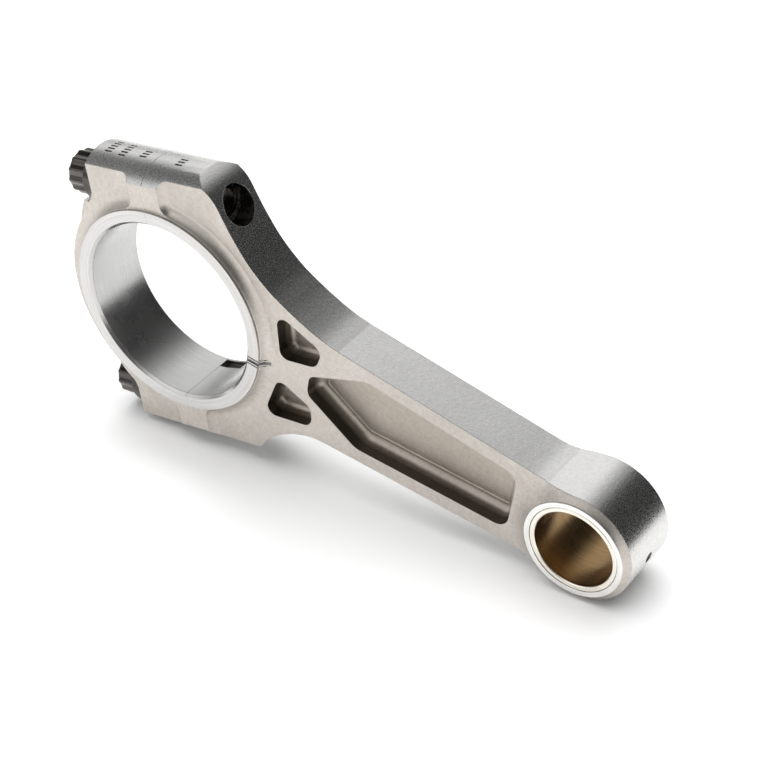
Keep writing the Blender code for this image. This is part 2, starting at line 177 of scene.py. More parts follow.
def along_u(profile, segments, v, pitch=None, depth=0.0, start=1e9, stop=1e9):
    """Turn an (r, u) profile about the line v = const; from start to stop the radius carries a helical thread."""
    rings = []
    for r, u in profile:
        ring = []
        for i in range(segments):
            a = 2.0 * math.pi * (i + 0.5) / segments
            rr = r
            if pitch and start <= u <= stop:
                f = (u / pitch - a / (2.0 * math.pi)) % 1.0
                rr = r + depth * (1.0 - abs(2.0 * f - 1.0))
            x, y = split_to_rod(u, v + rr * math.cos(a))
            ring.append((x, y, rr * math.sin(a)))
        rings.append(ring)
    return loft(rings)


def tidy(mesh, angle=0.2):
    bm = bmesh.new()
    bm.from_mesh(mesh)
    bmesh.ops.remove_doubles(bm, verts=bm.verts, dist=0.000004)
    bmesh.ops.dissolve_degenerate(bm, dist=0.000002, edges=bm.edges)
    bmesh.ops.dissolve_limit(bm, angle_limit=math.radians(angle), use_dissolve_boundaries=False,
                             verts=bm.verts, edges=bm.edges)
    bm.to_mesh(mesh)
    bm.free()


def boolean(target, bm, operation, angle=0.2):
    cutter = add_object("cutter", bm)
    mod = target.modifiers.new("cut", "BOOLEAN")
    mod.operation = operation
    mod.solver = "EXACT"
    mod.object = cutter
    graph = bpy.context.evaluated_depsgraph_get()
    graph.update()
    mesh = bpy.data.meshes.new_from_object(target.evaluated_get(graph))
    tidy(mesh, angle)
    target.modifiers.clear()
    old = target.data
    target.data = mesh
    bpy.data.meshes.remove(old)
    bpy.data.objects.remove(cutter, do_unlink=True)


def rounded(corners, steps=8):
    points = []
    n = len(corners)
    for i, (x, y, radius) in enumerate(corners):
        p = Vector((x, y))
        a = (Vector(corners[i - 1][:2]) - p).normalized()
        b = (Vector(corners[(i + 1) % n][:2]) - p).normalized()
        half = a.angle(b) / 2.0
        reach = radius / math.tan(half)
        centre = p + (a + b).normalized() * (radius / math.sin(half))
        start = p + a * reach - centre
        end = p + b * reach - centre
        turn = math.atan2(start.x * end.y - start.y * end.x, start.dot(end))
        for k in range(steps + 1):
            t = turn * k / steps
            points.append((centre.x + start.x * math.cos(t) - start.y * math.sin(t),
                           centre.y + start.x * math.sin(t) + start.y * math.cos(t)))
    return points


def shrink(corners, distance):
    """Offset a rounded polygon inwards by moving its sides and reducing its corner radii."""
    n = len(corners)
    out = []
    for i, (x, y, radius) in enumerate(corners):
        p = Vector((x, y))
        a = (p - Vector(corners[i - 1][:2])).normalized()
        b = (Vector(corners[(i + 1) % n][:2]) - p).normalized()
        na, nb = Vector((-a.y, a.x)), Vector((-b.y, b.x))
        m = (na + nb).normalized()
        q = p + m * distance / m.dot(na)
        convex = a.x * b.y - a.y * b.x > 0
        out.append((q.x, q.y, max(0.35, radius - distance) if convex else radius + distance))
    return out


def smooth_curve(controls, steps=8):
    pts = [Vector(c) for c in controls]
    ext = [pts[0] * 2 - pts[1]] + pts + [pts[-1] * 2 - pts[-2]]
    out = []
    for i in range(1, len(ext) - 2):
        p0, p1, p2, p3 = ext[i - 1:i + 3]
        for k in range(steps):
            t = k / steps
            q = 0.5 * ((2 * p1) + (p2 - p0) * t + (2 * p0 - 5 * p1 + 4 * p2 - p3) * t * t
                       + (3 * p1 - p0 - 3 * p2 + p3) * t ** 3)
            out.append((q.x, q.y))
    out.append(tuple(pts[-1]))
    return out


def beam_half(x):
    return BEAM_HALF - BEAM_TAPER * (x - 80.0)


# ------------------------------------------------------------- the rod blank
def rod_outline():
    pts = []
    lower = [split_to_rod(16.6, -42.6), split_to_rod(FLAT_END_LOW, -FLAT_V), split_to_rod(24.3, -36.9),
             split_to_rod(27.4, -34.7), split_to_rod(31.0, -33.0),
             split_to_rod(35.5, -31.7), split_to_rod(40.5, -31.3), (53.0, -beam_half(53.0) - 0.1)]
    pts += smooth_curve(lower, 9)
    neck = [(104.0, beam_half(104.0)), (109.0, 13.75), (113.5, 13.62), (117.5, 13.85)]
    pts += smooth_curve([(x, -y) for x, y in neck], 5)
    start = math.asin(-(BARREL_R - 0.35) / BARREL_R) - math.radians(12.0)
    for k in range(-5, 90):
        a = start + (-2.0 * start) * k / 84.0
        pts.append((CENTRES + BARREL_R * math.cos(a), BARREL_R * math.sin(a)))
    pts += list(reversed(smooth_curve(neck, 5)))
    upper = [(53.0, beam_half(53.0) + 0.05), (47.0, 17.3), (41.0, 18.95), split_to_rod(40.0, 9.1),
             split_to_rod(35.0, 13.7), split_to_rod(30.0, 20.3), split_to_rod(26.4, 27.4),
             split_to_rod(24.6, 31.8), split_to_rod(22.6, 36.6), split_to_rod(FLAT_END_UP, FLAT_V),
             split_to_rod(14.4, 42.6)]
    pts += smooth_curve(upper, 9)
    pts.append(split_to_rod(SEAT_U, 42.6))
    back = smooth_curve([(SEAT_U, 31.4), (-21.6, 29.2), (-24.0, 26.4), (CAP_R * math.cos(2.413), CAP_R * math.sin(2.413))], 5)
    arc0 = math.atan2(23.2, -26.0)
    back = back[:-1] + [(CAP_R * math.cos(arc0 + (2.0 * (math.pi - arc0)) * k / 64.0),
                         CAP_R * math.sin(arc0 + (2.0 * (math.pi - arc0)) * k / 64.0)) for k in range(65)]
    low = smooth_curve([(SEAT_U, -31.4), (-21.6, -29.2), (-24.0, -26.4), (CAP_R * math.cos(2.413), -CAP_R * math.sin(2.413))], 5)
    back += list(reversed(low[:-1]))
    pts += [split_to_rod(u, v) for u, v in back]
    pts.append(split_to_rod(SEAT_U, -42.6))
    return pts


def fillet_profile(r0, z_top, z_base, radius, steps=8):
    """Concave fillet from (r0, z_top) out and down to z_base; a higher step gets a straight wall first."""
    rise = min(z_top - z_base, radius)
    reach = math.sqrt(radius ** 2 - (radius - rise) ** 2)
    a0 = math.atan2(reach, radius - rise)
    pts = [(r0 + reach - radius * math.sin(a0 * (1 - k / steps)),
            z_base + radius - radius * math.cos(a0 * (1 - k / steps))) for k in range(steps + 1)]
    pts[0] = (pts[0][0], z_top)
    return pts


def mirrored_ring(upper, inner_r):
    return ([(inner_r, upper[0][1])] + upper + [(r, -z) for r, z in reversed(upper)]
            + [(inner_r, -upper[0][1])])


def build_blank(mats):
    outline = rod_outline()
    slab = [(-60.0, -60.0), (160.0, -60.0), (160.0, 60.0), (-60.0, 60.0)]
    blank = add_object("blank", prism(slab, -FACE_Z, FACE_Z), mats)

    hub = [(RING_R - 0.08, RING_Z), (RING_R, RING_Z - 0.08), (RING_R + 0.12, TAB_Z)]
    hub += fillet_profile(RING_R + 0.2, TAB_Z, FACE_Z - 0.02, FILLET_R, 9)
    boolean(blank, turned(mirrored_ring(hub, 24.0), 168), "UNION")

    blend = []
    for k in range(15):
        r = BOSS_R + (BOSS_BLEND_R - BOSS_R) * k / 14.0
        blend.append((r, FACE_Z - 0.02 + (BOSS_Z - 0.3 - FACE_Z) * ((BOSS_BLEND_R - r) / (BOSS_BLEND_R - BOSS_R)) ** 2))
    boss = [(BOSS_R - 0.15, BOSS_Z), (BOSS_R - 0.06, BOSS_Z - 0.08)] + blend
    boolean(blank, turned(mirrored_ring(boss, 8.0), 112, (CENTRES, 0.0)), "UNION")

    # lands beside the parting line; in plan they widen with a fillet towards the thrust ring
    levels = fillet_profile(0.0, TAB_Z, FACE_Z - 0.02, FILLET_R, 8)
    cu = TAB_HALF + TAB_PLAN_R
    cv = math.sqrt((RING_R + 0.2 + TAB_PLAN_R) ** 2 - cu ** 2) - 0.06

    def half_width(v, d):
        rr = TAB_PLAN_R - d
        if v >= cv or rr <= 0.02:
            base = TAB_HALF + d
            if rr <= 0.02:
                return base
        v_t = cv * (RING_R + 0.2 + d) / (RING_R + 0.2 + TAB_PLAN_R)
        w = min(max(v, v_t), cv)
        return cu - math.sqrt(max(0.0, rr * rr - (w - cv) ** 2)) if w < cv else TAB_HALF + d

    for sign in (1.0, -1.0):
        rings = []
        vs = [26.5, 28.6] + [29.2 + (cv - 29.2) * k / 9.0 for k in range(10)] + [FLAT_V + 1.0]
        for v in vs:
            half = [(half_width(v, d), z) for d, z in levels]
            section = ([(-u, z) for u, z in reversed(half)] + half
                       + [(u, -z) for u, z in reversed(half)] + [(-u, -z) for u, z in half])
            rings.append([(*split_to_rod(u, sign * v), z) for u, z in section])
        boolean(blank, loft(rings), "UNION")

    boolean(blank, prism(outline, -12.0, 12.0), "INTERSECT")

    # crowned sides, beside the bolts
    section = [(min(CROWN_TOP, CROWN_V + math.sqrt(CROWN_R ** 2 - z * z)), z)
               for z in (-11.0 + 22.0 * k / 52.0 for k in range(53))] + [(60.0, 11.0), (60.0, -11.0)]
    for sign in (1.0, -1.0):
        rings = [[(*split_to_rod(u, sign * v), z) for v, z in section] for u in (-40.0, 30.0)]
        boolean(blank, loft(rings), "DIFFERENCE", 0.05)

    # punched tally strokes on the upper side, on both sides of the parting line
    marks = bmesh.new()
    for u0, u1, zs in MARKS:
        for z in zs:
            top = CROWN_V + math.sqrt(CROWN_R ** 2 - z * z)
            box = [(u0, top - 0.36), (u1, top - 0.36), (u1, top + 3.0), (u0, top + 3.0)]
            stroke = loft([[(*split_to_rod(u, v), z + side) for u, v in box] for side in (-0.26, 0.26)])
            part = bpy.data.meshes.new("stroke")
            stroke.to_mesh(part)
            stroke.free()
            marks.from_mesh(part)
            bpy.data.meshes.remove(part)
    boolean(blank, marks, "DIFFERENCE", 0.05)

    # rib over the back of the cap, with fillets down to its shoulders
    rings = []
    for k in range(41):
        v = -RIB_V + 2.0 * RIB_V * k / 40.0
        top = RIB_BACK_U + RIB_ARC_R - math.sqrt(RIB_ARC_R ** 2 - v * v)
        edge = math.sqrt(CAP_R ** 2 - v * v)
        if abs(v) > 23.2:
            t = (abs(v) - 23.2) / (RIB_V - 23.2)
            edge = edge * (1.0 - t) + 24.9 * t
        base = -edge + 0.03
        rise = max(0.12, base - top)
        prof = [(z, d) for z, d in fillet_profile(RIB_Z, rise, 0.0, 3.5, 8)]
        prof = [(RIB_Z - 0.35, rise + 0.001), (RIB_Z - 0.1, rise - 0.06)] + prof[1:] if rise > 0.5 else \
            [(RIB_Z - 0.35, rise + 0.001), (RIB_Z - 0.1, rise)] + prof[1:]
        half = [(base - d, z) for z, d in prof]
        section = [(base + 5.0, half[-1][1])] + list(reversed(half)) + [(u, -z) for u, z in half] + [(base + 5.0, -half[-1][1])]
        rings.append([(*split_to_rod(u, v), z) for u, z in section])
    boolean(blank, loft(rings), "UNION")

    # bores
    c = BORE_CHAMFER
    boolean(blank, turned([(BORE_R + 2 * c, -RING_Z - c), (BORE_R, -RING_Z + c), (BORE_R, RING_Z - c),
                           (BORE_R + 2 * c, RING_Z + c)], 168, closed=False), "DIFFERENCE")
    boolean(blank, turned([(HOUSING_R + 0.4, -BOSS_Z - 0.3), (HOUSING_R, -BOSS_Z + 0.1), (HOUSING_R, BOSS_Z - 0.1),
                           (HOUSING_R + 0.4, BOSS_Z + 0.3)], 112, (CENTRES, 0.0), closed=False), "DIFFERENCE")

    # bolt seats, threaded holes and sleeve pockets
    for sign in (1.0, -1.0):
        v = sign * BOLT_V
        boolean(blank, along_u([(SPOT_FACE_R, SEAT_U - 20.0), (SPOT_FACE_R, SEAT_U)], 72, v), "DIFFERENCE")
        end = HOLE_END_UP if sign > 0.0 else HOLE_END_LOW
        profile = [(HOLE_R, SEAT_U - 5.0), (HOLE_R, 6.2)]
        u = 6.6
        stop = 20.6 if sign > 0.0 else HOLE_END_LOW
        while u < stop:
            profile.append((THREAD_MINOR_R, u))
            u += THREAD_PITCH / 4.0
        profile += [(5.3, stop + 0.4), (5.3, end)] if sign > 0.0 else [(THREAD_MINOR_R, end)]
        boolean(blank, along_u(profile, 48, v, THREAD_PITCH, HOLE_R - THREAD_MINOR_R, 6.5, stop), "DIFFERENCE", 0.02)
        boolean(blank, along_u([(SLEEVE_POCKET_R, SLEEVE_CAP_U), (SLEEVE_POCKET_R, SLEEVE_ROD_U)], 48, v),
                "DIFFERENCE", 0.02)

    # lightening pockets: drafted wall, floor fillet and a shallow step around the floor
    main = [(45.0, -3.2, 2.9), (62.0, -12.15, 6.0), (109.0, -9.5, 4.0),
            (109.0, 9.5, 4.0), (62.0, 12.15, 6.0), (45.0, 3.2, 2.9)]
    small = [(32.4, 18.2, 2.6), (35.6, 3.6, 2.6), (46.8, 7.2, 3.3), (48.1, 13.6, 3.2)]
    small_low = [(x, -y, r) for x, y, r in reversed(small)]
    floor = POCKET_FLOOR_Z
    for corners, radius, step in ((main, 2.3, True), (small, 1.5, False), (small_low, 1.5, False)):
        levels = [(FACE_Z + 1.0, 0.0), (floor + radius, 0.28)]
        for k in range(1, 7):
            a = math.radians(90.0 * k / 6.0)
            levels.append((floor + radius * (1.0 - math.sin(a)), 0.28 + radius * (1.0 - math.cos(a))))
        if step:
            levels += [(floor, 3.0), (floor - 0.16, 3.14)]
        for sign in (1.0, -1.0):
            rings = [[(x, y, sign * z) for x, y in rounded(shrink(corners, d))] for z, d in levels]
            boolean(blank, loft(rings), "DIFFERENCE")

    # oil hole in the end of the small end
    rings = [[(x, OIL_HOLE_R * math.cos(2.0 * math.pi * i / 32.0), OIL_HOLE_R * math.sin(2.0 * math.pi * i / 32.0))
              for i in range(32)] for x in (CENTRES + 8.0, CENTRES + 20.0)]
    boolean(blank, loft(rings), "DIFFERENCE")

    # oil channels across the thrust faces: three fine grooves side by side
    for sign in (1.0, -1.0):
        for y, w, d in ((-1.05, 0.18, 0.35), (0.0, 0.45, 0.5), (1.05, 0.18, 0.35)):
            ring = [(BORE_R - 1.0, RING_Z - d), (RING_R - 0.1, RING_Z - d), (RING_R + 0.25, TAB_Z - d),
                    (31.5, 8.37 - d), (32.5, 7.6), (33.0, 8.3), (33.0, 12.0), (BORE_R - 1.0, 12.0)]
            boolean(blank, loft([[(px, y - w, sign * pz) for px, pz in ring],
                                 [(px, y + w, sign * pz) for px, pz in ring]]), "DIFFERENCE")
    notch = [(0.0, -(BORE_R + 1.4)), (7.0, -(BORE_R + 0.6)), (7.6, -(BORE_R - 0.2)), (7.6, -(BORE_R - 3.0)),
             (0.0, -(BORE_R - 3.0))]
    boolean(blank, loft([[(*split_to_rod(u, v), z) for u, v in notch] for z in (-8.6, -5.2)]), "DIFFERENCE")
    return blank


def half_space(sign):
    near, far = sign * KERF / 2.0, sign * 260.0
    ring = [(near, -120.0), (far, -120.0), (far, 120.0), (near, 120.0)]
    return loft([[(*split_to_rod(u, v), z) for u, v in ring] for z in (-30.0, 30.0)])


# ------------------------------------------------------------------ fittings
def star_ring(radius, u, segments):
    """Double-hexagon outline with slightly blunted points."""
    ring = []
    for i in range(segments):
        a = 2.0 * math.pi * (i + 0.5) / segments
        r = max(radius * math.cos(math.radians(30.0)) / math.cos(((a + k * math.radians(30.0)) % math.radians(60.0))
                                                                 - math.radians(30.0)) for k in (0, 1))
        r = min(r, radius * 0.978)
        ring.append((u, r * math.cos(a), r * math.sin(a)))
    return ring


def round_ring(radius, u, segments, pitch=None, depth=0.0):
    ring = []
    for i in range(segments):
        a = 2.0 * math.pi * (i + 0.5) / segments
        r = radius
        if pitch:
            f = (u / pitch - a / (2.0 * math.pi)) % 1.0
            r = radius - depth + depth * (1.0 - abs(2.0 * f - 1.0))
        ring.append((u, r * math.cos(a), r * math.sin(a)))
    return ring


def build_bolt(name, mats):
    n = 144
    seat = SEAT_U - SEAT_GAP
    head = BOLT_HEAD_U
    rings = [round_ring(0.9, head + 1.9, n), round_ring(2.0, head + 1.5, n), round_ring(2.9, head + 0.75, n),
             round_ring(3.35, head + 0.12, n), round_ring(3.6, head, n), round_ring(BOLT_HEAD_R * 0.80, head, n),
             round_ring(BOLT_HEAD_R * 0.872, head + 0.28, n), star_ring(BOLT_HEAD_R * 0.965, head + 0.45, n),
             star_ring(BOLT_HEAD_R, head + 0.95, n), star_ring(BOLT_HEAD_R, seat - 4.3, n),
             star_ring(BOLT_HEAD_R, seat - 3.55, n),
             round_ring(BOLT_HEAD_R + 0.12, seat - 3.3, n), round_ring(BOLT_FLANGE_R - 0.25, seat - 3.0, n),
             round_ring(BOLT_FLANGE_R - 0.06, seat - 2.82, n), round_ring(BOLT_FLANGE_R, seat - 2.6, n),
             round_ring(BOLT_FLANGE_R, seat - 0.32, n), round_ring(BOLT_FLANGE_R - 0.25, seat, n),
             round_ring(BOLT_SHANK_R + 0.8, seat, n), round_ring(BOLT_SHANK_R + 0.25, seat + 0.25, n),
             round_ring(BOLT_SHANK_R, seat + 0.8, n), round_ring(BOLT_SHANK_R, 3.0, n)]
    u = 3.6
    while u < BOLT_TIP_U - 1.0:
        grow = min(1.0, (u - 3.4) / 1.2)
        rings.append(round_ring(BOLT_SHANK_R + (BOLT_THREAD_R - BOLT_SHANK_R) * grow, u, n, THREAD_PITCH, 0.42 * grow))
        u += THREAD_PITCH / 6.0
    rings += [round_ring(BOLT_SHANK_R, BOLT_TIP_U - 0.8, n), round_ring(BOLT_SHANK_R - 0.7, BOLT_TIP_U, n)]
    rings = [[(x - SEAT_U, y, z) for x, y, z in ring] for ring in rings]
    return add_object(name, loft(rings), mats)


def build_sleeve(name, mats):
    n = 64
    rings = []
    for r, u in ((SLEEVE_R - 0.25, SLEEVE_CAP_U + 0.2), (SLEEVE_R, SLEEVE_CAP_U + 0.45),
                 (SLEEVE_R, SLEEVE_ROD_U - 0.45), (SLEEVE_R - 0.25, SLEEVE_ROD_U - 0.2),
                 (SLEEVE_BORE_R + 0.1, SLEEVE_ROD_U - 0.2), (SLEEVE_BORE_R, SLEEVE_ROD_U - 0.3),
                 (SLEEVE_BORE_R, SLEEVE_CAP_U + 0.3), (SLEEVE_BORE_R + 0.1, SLEEVE_CAP_U + 0.2)):
        rings.append(round_ring(r, u, n))
    return add_object(name, loft(rings, closed=True), mats)


def build_bushing(name, mats):
    c = 0.45
    profile = [(PIN_R + c, BUSH_Z), (BUSH_R - 0.2, BUSH_Z), (BUSH_R, BUSH_Z - 0.2), (BUSH_R, -BUSH_Z + 0.2),
               (BUSH_R - 0.2, -BUSH_Z), (PIN_R + c, -BUSH_Z), (PIN_R + 0.15, -BUSH_Z + 0.25), (PIN_R, -BUSH_Z + 0.7),
               (PIN_R, BUSH_Z - 0.7), (PIN_R + 0.15, BUSH_Z - 0.25)]
    ob = add_object(name, turned(profile, 112), mats)
    rings = [[(x, (OIL_HOLE_R - 0.2) * math.cos(2.0 * math.pi * i / 24.0), (OIL_HOLE_R - 0.2) * math.sin(2.0 * math.pi * i / 24.0))
              for i in range(24)] for x in (8.0, 16.0)]
    boolean(ob, loft(rings), "DIFFERENCE")
    # small notch in the front edge, from the press tool
    ring = [(1.2, -13.4), (3.4, -13.4), (3.4, -10.2), (1.2, -10.2)]
    boolean(ob, loft([[(x, y, z) for x, y in ring] for z in (-BUSH_Z - 1.0, -BUSH_Z + 0.7)]), "DIFFERENCE")
    return ob


# ----------------------------------------------------------------- materials
def new_material(name):
    mat = bpy.data.materials.new(name)
    mat.use_nodes = True
    tree = mat.node_tree
    shader = tree.nodes["Principled BSDF"]
    return mat, tree, shader


def node(tree, kind, **values):
    n = tree.nodes.new(kind)
    for key, value in values.items():
        setattr(n, key, value)
    return n


def rod_coords(tree):
    """Position in the rod frame, in metres."""
    mapping = node(tree, "ShaderNodeMapping", vector_type="TEXTURE")
    mapping.inputs["Location"].default_value = ROD.translation
    mapping.inputs["Rotation"].default_value = ROD.to_euler()
    tree.links.new(node(tree, "ShaderNodeTexCoord").outputs["Object"], mapping.inputs["Vector"])
    return mapping.outputs["Vector"]


def noise(tree, coords, scale, detail=2.0, rough=0.5):
    n = node(tree, "ShaderNodeTexNoise")
    n.inputs["Scale"].default_value = scale
    n.inputs["Detail"].default_value = detail
    n.inputs["Roughness"].default_value = rough
    tree.links.new(coords, n.inputs["Vector"])
    return n.outputs["Fac"]


def remap(tree, value, lo, hi, to_lo, to_hi):
    n = node(tree, "ShaderNodeMapRange")
    n.inputs["From Min"].default_value = lo
    n.inputs["From Max"].default_value = hi
    n.inputs["To Min"].default_value = to_lo
    n.inputs["To Max"].default_value = to_hi
    tree.links.new(value, n.inputs["Value"])
    return n.outputs["Result"]


def math_node(tree, op, a, b=None):
    n = node(tree, "ShaderNodeMath", operation=op)
    for i, x in enumerate((a, b)):
        if x is None:
            continue
        if isinstance(x, (int, float)):
            n.inputs[i].default_value = x
        else:
            tree.links.new(x, n.inputs[i])
    return n.outputs[0]


def mix_colour(tree, factor, a, b):
    n = node(tree, "ShaderNodeMix", data_type="RGBA")
    if isinstance(factor, (int, float)):
        n.inputs["Factor"].default_value = factor
    else:
        tree.links.new(factor, n.inputs["Factor"])
    for name, x in (("A", a), ("B", b)):
        sockets = [s for s in n.inputs if s.name == name and s.type == "RGBA"]
        if isinstance(x, tuple):
            sockets[0].default_value = (*x, 1.0)
        else:
            tree.links.new(x, sockets[0])
    return [s for s in n.outputs if s.type == "RGBA"][0]


def bevel_normal(tree, radius):
    n = node(tree, "ShaderNodeBevel", samples=6)
    n.inputs["Radius"].default_value = radius
    return n.outputs["Normal"]


def edge_mask(tree, radius, gain):
    """Near 1 on the object's edges, where the rounded normal leaves the surface's own; the edge tone it places is
    partly rubbed wear, partly painted highlight and painted shade.
    """
    rounded_n = bevel_normal(tree, radius)
    geo = node(tree, "ShaderNodeNewGeometry")
    dot = node(tree, "ShaderNodeVectorMath", operation="DOT_PRODUCT")
    tree.links.new(rounded_n, dot.inputs[0])
    tree.links.new(geo.outputs["Normal"], dot.inputs[1])
    inv = math_node(tree, "SUBTRACT", 1.0, dot.outputs["Value"])
    inv = math_node(tree, "MAXIMUM", math_node(tree, "SUBTRACT", inv, 0.02), 0.0)
    out = math_node(tree, "MULTIPLY", inv, gain)
    out = math_node(tree, "MINIMUM", out, 1.0)
    return out


def bump_chain(tree, layers, base_normal=None):
    """layers: (height socket, strength, distance) from coarse to fine."""
    normal = base_normal
    for height, strength, distance in layers:
        n = node(tree, "ShaderNodeBump")
        n.inputs["Strength"].default_value = strength
        n.inputs["Distance"].default_value = distance
        tree.links.new(height, n.inputs["Height"])
        if normal is not None:
            tree.links.new(normal, n.inputs["Normal"])
        normal = n.outputs["Normal"]
    return normal


def peened(name, dark, light, edge, rough, grain, edge_radius=0.00032, sparkle=0.0, wall=None):
    """Shot-peened forged steel: fine dimples, mottled tone; the edge tone is partly rubbed wear and partly painted
    highlight and painted shade; wall paints shade on the pocket walls, darker with height.
    """
    mat, tree, shader = new_material(name)
    coords = rod_coords(tree)
    fine = noise(tree, coords, 2600.0, 3.0, 0.65)
    mid = noise(tree, coords, 900.0, 3.0, 0.6)
    broad = noise(tree, coords, 55.0, 3.0, 0.5)
    tone = math_node(tree, "ADD", math_node(tree, "MULTIPLY", fine, 0.45),
                     math_node(tree, "ADD", math_node(tree, "MULTIPLY", mid, 0.35), math_node(tree, "MULTIPLY", broad, 0.30)))
    colour = mix_colour(tree, remap(tree, tone, 0.36, 0.74, 0.0, 1.0), dark, light)
    # painted shade: wall darkens the pocket walls towards its dark colour as the height rises
    if wall is not None:
        sep = node(tree, "ShaderNodeSeparateXYZ")
        tree.links.new(coords, sep.inputs[0])
        height = math_node(tree, "ABSOLUTE", sep.outputs["Z"])
        colour = mix_colour(tree, remap(tree, height, wall[0], wall[1], 0.0, 1.0), colour, wall[2])
    # edge tone: partly rubbed wear, partly a painted highlight (light tones) and a painted shade line (dark tones)
    colour = mix_colour(tree, edge_mask(tree, edge_radius, 4.0), colour, edge)
    tree.links.new(colour, shader.inputs["Base Color"])
    shader.inputs["Metallic"].default_value = 1.0
    tree.links.new(remap(tree, fine, 0.3, 0.7, rough - 0.07 - sparkle, rough + 0.07), shader.inputs["Roughness"])
    normal = bump_chain(tree, [(mid, 0.35 * grain, 0.00012), (fine, 0.75 * grain, 0.00005)],
                        bevel_normal(tree, edge_radius))
    tree.links.new(normal, shader.inputs["Normal"])
    return mat


def turned_face(name, colour_a, colour_b, rough, centre_x, groove=2600.0, strength=0.35, mode="radius"):
    """Machined steel: fine circular tool marks about a pin axis, or along the axis in a bore."""
    mat, tree, shader = new_material(name)
    coords = rod_coords(tree)
    sep = node(tree, "ShaderNodeSeparateXYZ")
    tree.links.new(coords, sep.inputs[0])
    x = math_node(tree, "SUBTRACT", sep.outputs["X"], centre_x)
    rr = math_node(tree, "SQRT", math_node(tree, "ADD", math_node(tree, "MULTIPLY", x, x),
                                           math_node(tree, "MULTIPLY", sep.outputs["Y"], sep.outputs["Y"])))
    angle = math_node(tree, "ARCTAN2", sep.outputs["Y"], x)
    comb = node(tree, "ShaderNodeCombineXYZ")
    if mode == "radius":
        tree.links.new(rr, comb.inputs[0])
        tree.links.new(math_node(tree, "MULTIPLY", angle, 0.0006), comb.inputs[1])
    else:
        tree.links.new(math_node(tree, "MULTIPLY", angle, 0.0009), comb.inputs[0])
        tree.links.new(sep.outputs["Z"], comb.inputs[1])
    lines = noise(tree, comb.outputs[0], groove, 3.0, 0.6)
    broad = noise(tree, coords, 90.0, 2.0, 0.5)
    colour = mix_colour(tree, remap(tree, lines, 0.35, 0.65, 0.0, 1.0), colour_a, colour_b)
    tree.links.new(colour, shader.inputs["Base Color"])
    shader.inputs["Metallic"].default_value = 1.0
    tree.links.new(remap(tree, broad, 0.3, 0.7, rough - 0.04, rough + 0.05), shader.inputs["Roughness"])
    normal = bump_chain(tree, [(lines, strength, 0.00003)], bevel_normal(tree, 0.00022))
    tree.links.new(normal, shader.inputs["Normal"])
    return mat


def polished(name, dark, light, edge, rough, edge_radius=0.0002, scratch=0.25, scale=700.0):
    mat, tree, shader = new_material(name)
    coords = rod_coords(tree)
    fine = noise(tree, coords, scale, 4.0, 0.6)
    broad = noise(tree, coords, 140.0, 2.0, 0.5)
    colour = mix_colour(tree, remap(tree, broad, 0.3, 0.7, 0.0, 1.0), dark, light)
    # edge tone: partly rubbed wear, partly a painted highlight (light tones) and a painted shade line (dark tones)
    colour = mix_colour(tree, edge_mask(tree, edge_radius, 4.0), colour, edge)
    tree.links.new(colour, shader.inputs["Base Color"])
    shader.inputs["Metallic"].default_value = 1.0
    tree.links.new(remap(tree, fine, 0.3, 0.7, rough - 0.06, rough + 0.08), shader.inputs["Roughness"])
    normal = bump_chain(tree, [(fine, scratch, 0.00003)], bevel_normal(tree, edge_radius))
    tree.links.new(normal, shader.inputs["Normal"])
    return mat


# the third colour of each steel is its edge tone: painted highlight on the face, hole and bolt edges, painted shade
# lines on the sides and pocket rims, partly also rubbed wear
FACE = peened("peened_face", (0.445, 0.408, 0.366), (0.70, 0.657, 0.61), (0.92, 0.90, 0.86), 0.40, 1.0)
SIDE = peened("peened_side", (0.60, 0.595, 0.585), (0.80, 0.795, 0.78), (0.16, 0.155, 0.15), 0.29, 0.6, sparkle=0.02)
# painted shade: the pocket floor is a darker copy of the face steel, and its walls darken with height
FLOOR = peened("pocket_floor", (0.40, 0.357, 0.31), (0.60, 0.546, 0.48), (0.22, 0.20, 0.18), 0.42, 0.8,
               wall=(0.0024, 0.0046, (0.11, 0.095, 0.08)))
RING = turned_face("turned_ring", (0.56, 0.55, 0.54), (0.67, 0.66, 0.645), 0.24, 0.0)
BOSS = turned_face("turned_boss", (0.78, 0.77, 0.75), (0.94, 0.93, 0.91), 0.24, CENTRES * MM)
BORE = turned_face("honed_bore", (0.52, 0.52, 0.515), (0.56, 0.56, 0.555), 0.27, 0.0, 1800.0, 0.04, "bore")
# painted shade: a dark copy of the steel for the recesses (notch, oil grooves, tally marks, bolt holes, pin housing);
# its light edge tone is a painted highlight on their rims
HOLE = polished("hole_steel_painted_shade", (0.15, 0.14, 0.13), (0.26, 0.25, 0.24), (0.75, 0.73, 0.70), 0.30)
GROUND = turned_face("ground_joint", (0.60, 0.60, 0.59), (0.78, 0.78, 0.77), 0.30, 0.0, 900.0, 0.35, "bore")
BOLT = polished("bolt_dark", (0.05, 0.046, 0.043), (0.13, 0.12, 0.112), (0.58, 0.56, 0.53), 0.18)
# painted shade and painted highlight: the bronze bore is a darkened copy of the bronze, the bronze face a paled one
BRONZE = turned_face("bronze_bore_painted_shade", (0.27, 0.17, 0.078), (0.34, 0.225, 0.11), 0.30, CENTRES * MM, 1500.0, 0.15, "bore")
BRONZE_FACE = turned_face("bronze_face_painted_highlight", (0.82, 0.765, 0.66), (0.95, 0.91, 0.83), 0.25, CENTRES * MM)
SLEEVE = turned_face("sleeve_ground", (0.60, 0.60, 0.60), (0.76, 0.76, 0.76), 0.25, 0.0, 1500.0, 0.2, "bore")
ROD_MATS = (FACE, SIDE, FLOOR, RING, BOSS, BORE, HOLE, GROUND)

MAIN_BOX = (45.0, 109.0, 12.2)


